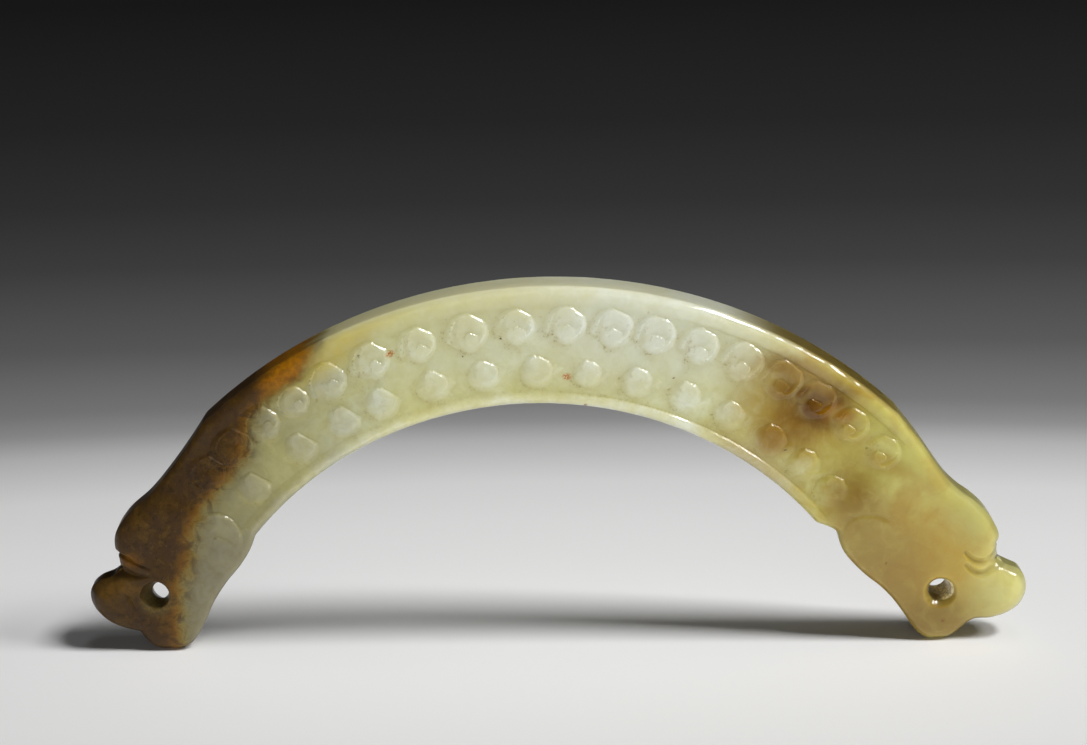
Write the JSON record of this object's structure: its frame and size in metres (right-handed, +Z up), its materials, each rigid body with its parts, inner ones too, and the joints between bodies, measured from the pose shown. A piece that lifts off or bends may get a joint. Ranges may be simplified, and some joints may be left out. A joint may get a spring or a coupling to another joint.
{
  "type": "jade huang pendant",
  "caption": "Arched jade pendant with a dragon's head in profile at each end, raised curls in a sunken band along the arch, and a cord hole through each head.",
  "frame": {"origin": "on the surface that the pendant stands on, midway along its length and at the middle of the stone's thickness", "axes": "+X along the length towards the right-hand head as seen from the front, +Y from the front face to the back face, +Z up from the chins to the top of the arch"},
  "size_m": [0.11, 0.0054, 0.0439],
  "materials": {
    "jade": "polished translucent celadon nephrite with russet skin at one end"
  },
  "bodies": {
    "root": {"jade_huang": "jade"}
  },
  "joints": []
}
